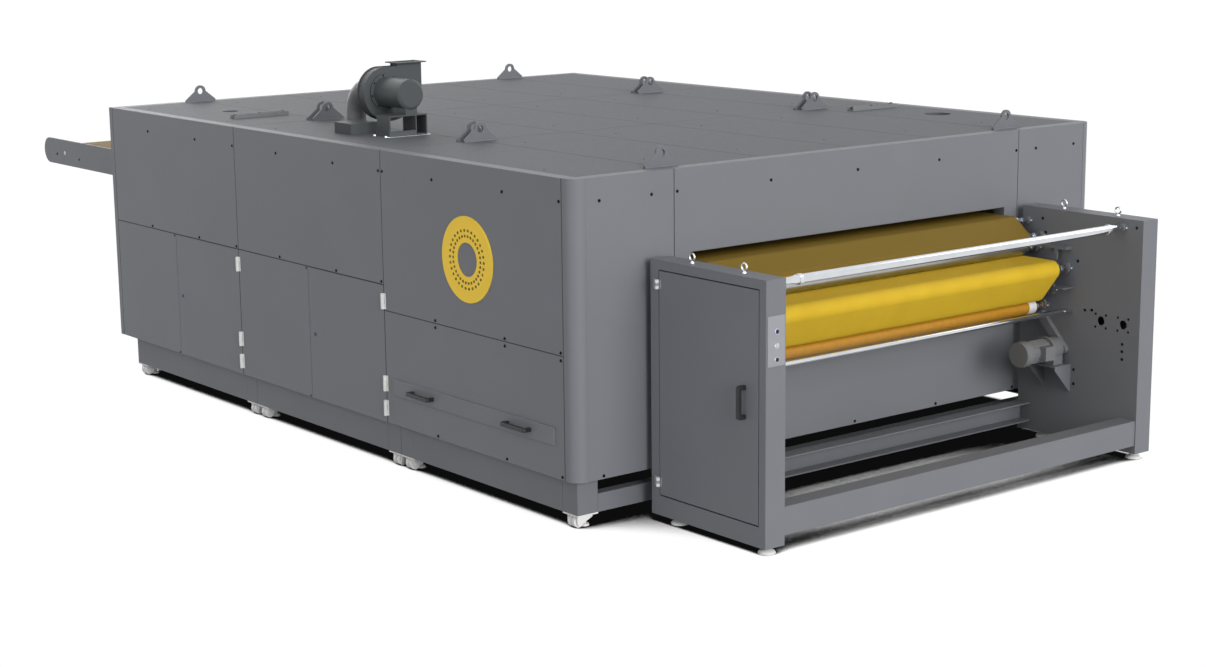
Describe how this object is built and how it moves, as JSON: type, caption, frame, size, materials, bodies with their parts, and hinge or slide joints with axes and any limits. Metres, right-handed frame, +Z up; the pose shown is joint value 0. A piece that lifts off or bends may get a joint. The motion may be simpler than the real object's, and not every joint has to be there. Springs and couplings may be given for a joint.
{
  "type": "wide conveyor oven with in-feed table and out-feed unit",
  "caption": "Wide panelled conveyor oven on levelling castors, with a belt loop, lower doors, filter drawer, roof blower and slim out-feed cabinets.",
  "frame": {"origin": "middle of the whole machine's footprint, on the floor", "axes": "+X runs with the goods from in-feed to out-feed, -Y is the operator's side, +Z is up"},
  "size_m": [6.5678, 3.0443, 1.687],
  "materials": {
    "panel_paint": "semi-matt dark grey powder coat, fine texture",
    "frame_paint": "semi-matt dark grey powder coat on welded frames",
    "belt_fabric": "yellow woven belt cloth with a smooth coating",
    "disc_paint": "yellow painted sheet",
    "chrome": "hard chromed and polished",
    "roller_steel": "ground steel",
    "zinc": "bright zinc plate",
    "white_castor": "light coated castings of castors and hinges",
    "blower_paint": "dark grey sheet steel paint",
    "motor_paint": "mid grey machine enamel",
    "black_plastic": "moulded, matt",
    "control_sheet": "light grey sheet",
    "button_plastic": "moulded button caps",
    "drive_sleeve": "amber rubber sleeve"
  },
  "bodies": {
    "machine": {"base_beams": "frame_paint", "base_legs": "frame_paint", "belt_infeed_wraps": "belt_fabric", "belt_outfeed_wraps": "belt_fabric", "belt_return_run": "belt_fabric", "belt_top_run": "belt_fabric", "blower_inlet": "motor_paint", "blower_motor": "blower_paint", "blower_stand": "blower_paint", "blower_volute": "blower_paint", "cabinet_plates": "panel_paint", "cabinet_posts": "panel_paint", "cabinet_rails": "panel_paint", "chain_guard": "panel_paint", "control_buttons": "button_plastic", "control_plate": "control_sheet", "corner_columns": "panel_paint", "door_hinges": "white_castor", "drawer_panel": "panel_paint", "drawer_runners": "zinc", "eye_bolts": "zinc", "far_panels": "panel_paint", "floor_panel": "panel_paint", "front_rail": "panel_paint", "gearmotor": "motor_paint", "gearmotor_bracket": "frame_paint", "guide_bar": "chrome", "housing_frame": "frame_paint", "infeed_bed": "panel_paint", "infeed_end_panels": "panel_paint", "infeed_side_plates": "panel_paint", "inner_guide_rollers": "roller_steel", "inner_side_plates": "panel_paint", "levelling_castors": "white_castor", "lifting_lugs": "frame_paint", "near_panels": "panel_paint", "outfeed_end_panels": "panel_paint", "rear_beam": "panel_paint", "roller_bearings": "motor_paint", "roof_beams": "frame_paint", "roof_panels": "panel_paint", "roof_rails": "frame_paint", "side_brackets": "frame_paint", "unit_feet": "zinc", "vent_disc": "disc_paint"},
    "lower_door_1": {"lower_door_1": "panel_paint"},
    "lower_door_2": {"lower_door_2": "panel_paint"},
    "filter_drawer": {"filter_drawer": "panel_paint", "drawer_handles": "black_plastic"},
    "cabinet_door": {"cabinet_door": "panel_paint", "cabinet_door_handle": "black_plastic"},
    "infeed_nose_roller": {"infeed_nose_roller": "roller_steel"},
    "top_guide_roller": {"top_guide_roller": "roller_steel"},
    "drop_guide_roller": {"drop_guide_roller": "roller_steel"},
    "wrap_roller": {"wrap_roller": "roller_steel"},
    "outfeed_nose_roller": {"outfeed_nose_roller": "roller_steel"},
    "return_roller": {"return_roller": "roller_steel"},
    "drive_roller": {"drive_roller": "drive_sleeve"},
    "takeoff_roller": {"takeoff_roller": "chrome"}
  },
  "joints": [
    {"name": "lower_door_1_swing", "type": "hinge", "parent": "machine", "child": "lower_door_1", "pos_m": [-0.022, -1.508, 0.5], "axis": [0, 0, 1], "range_deg": [0, 90]},
    {"name": "lower_door_2_swing", "type": "hinge", "parent": "machine", "child": "lower_door_2", "pos_m": [1.243, -1.508, 0.5], "axis": [0, 0, 1], "range_deg": [0, 90]},
    {"name": "cabinet_door_swing", "type": "hinge", "parent": "machine", "child": "cabinet_door", "pos_m": [2.665, -1.163, 0.56], "axis": [0, 0, -1], "range_deg": [0, 90]},
    {"name": "filter_drawer_slide", "type": "slide", "parent": "machine", "child": "filter_drawer", "axis": [0, -1, 0], "range_m": [0, 0.42]},
    {"name": "infeed_nose_roller_spin", "type": "hinge", "parent": "machine", "child": "infeed_nose_roller", "pos_m": [-2.997, 0, 0.9577], "axis": [0, 1, 0], "continuous": true},
    {"name": "top_guide_roller_spin", "type": "hinge", "parent": "machine", "child": "top_guide_roller", "pos_m": [2.646, 0, 0.9837], "axis": [0, 1, 0], "continuous": true},
    {"name": "drop_guide_roller_spin", "type": "hinge", "parent": "machine", "child": "drop_guide_roller", "pos_m": [2.723, 0, 0.925], "axis": [0, 1, 0], "continuous": true},
    {"name": "wrap_roller_spin", "type": "hinge", "parent": "machine", "child": "wrap_roller", "pos_m": [2.7, 0, 0.871], "axis": [0, 1, 0], "continuous": true},
    {"name": "outfeed_nose_roller_spin", "type": "hinge", "parent": "machine", "child": "outfeed_nose_roller", "pos_m": [2.875, 0, 0.7984], "axis": [0, 1, 0], "continuous": true},
    {"name": "return_roller_spin", "type": "hinge", "parent": "machine", "child": "return_roller", "pos_m": [2.796, 0, 0.6923], "axis": [0, 1, 0], "continuous": true},
    {"name": "drive_roller_spin", "type": "hinge", "parent": "machine", "child": "drive_roller", "pos_m": [2.748, 0, 0.6167], "axis": [0, 1, 0], "continuous": true},
    {"name": "takeoff_roller_spin", "type": "hinge", "parent": "machine", "child": "takeoff_roller", "pos_m": [3.172, 0, 1.009], "axis": [0, 1, 0], "continuous": true}
  ],
  "couplings": [
    {"joint": "top_guide_roller_spin", "follows": "infeed_nose_roller_spin", "ratio": 2.3},
    {"joint": "drop_guide_roller_spin", "follows": "infeed_nose_roller_spin", "ratio": 2.5556},
    {"joint": "wrap_roller_spin", "follows": "infeed_nose_roller_spin", "ratio": -1.5333},
    {"joint": "outfeed_nose_roller_spin", "follows": "infeed_nose_roller_spin", "ratio": 1.2105},
    {"joint": "return_roller_spin", "follows": "infeed_nose_roller_spin", "ratio": 1.2105},
    {"joint": "drive_roller_spin", "follows": "infeed_nose_roller_spin", "ratio": -1.3939}
  ]
}
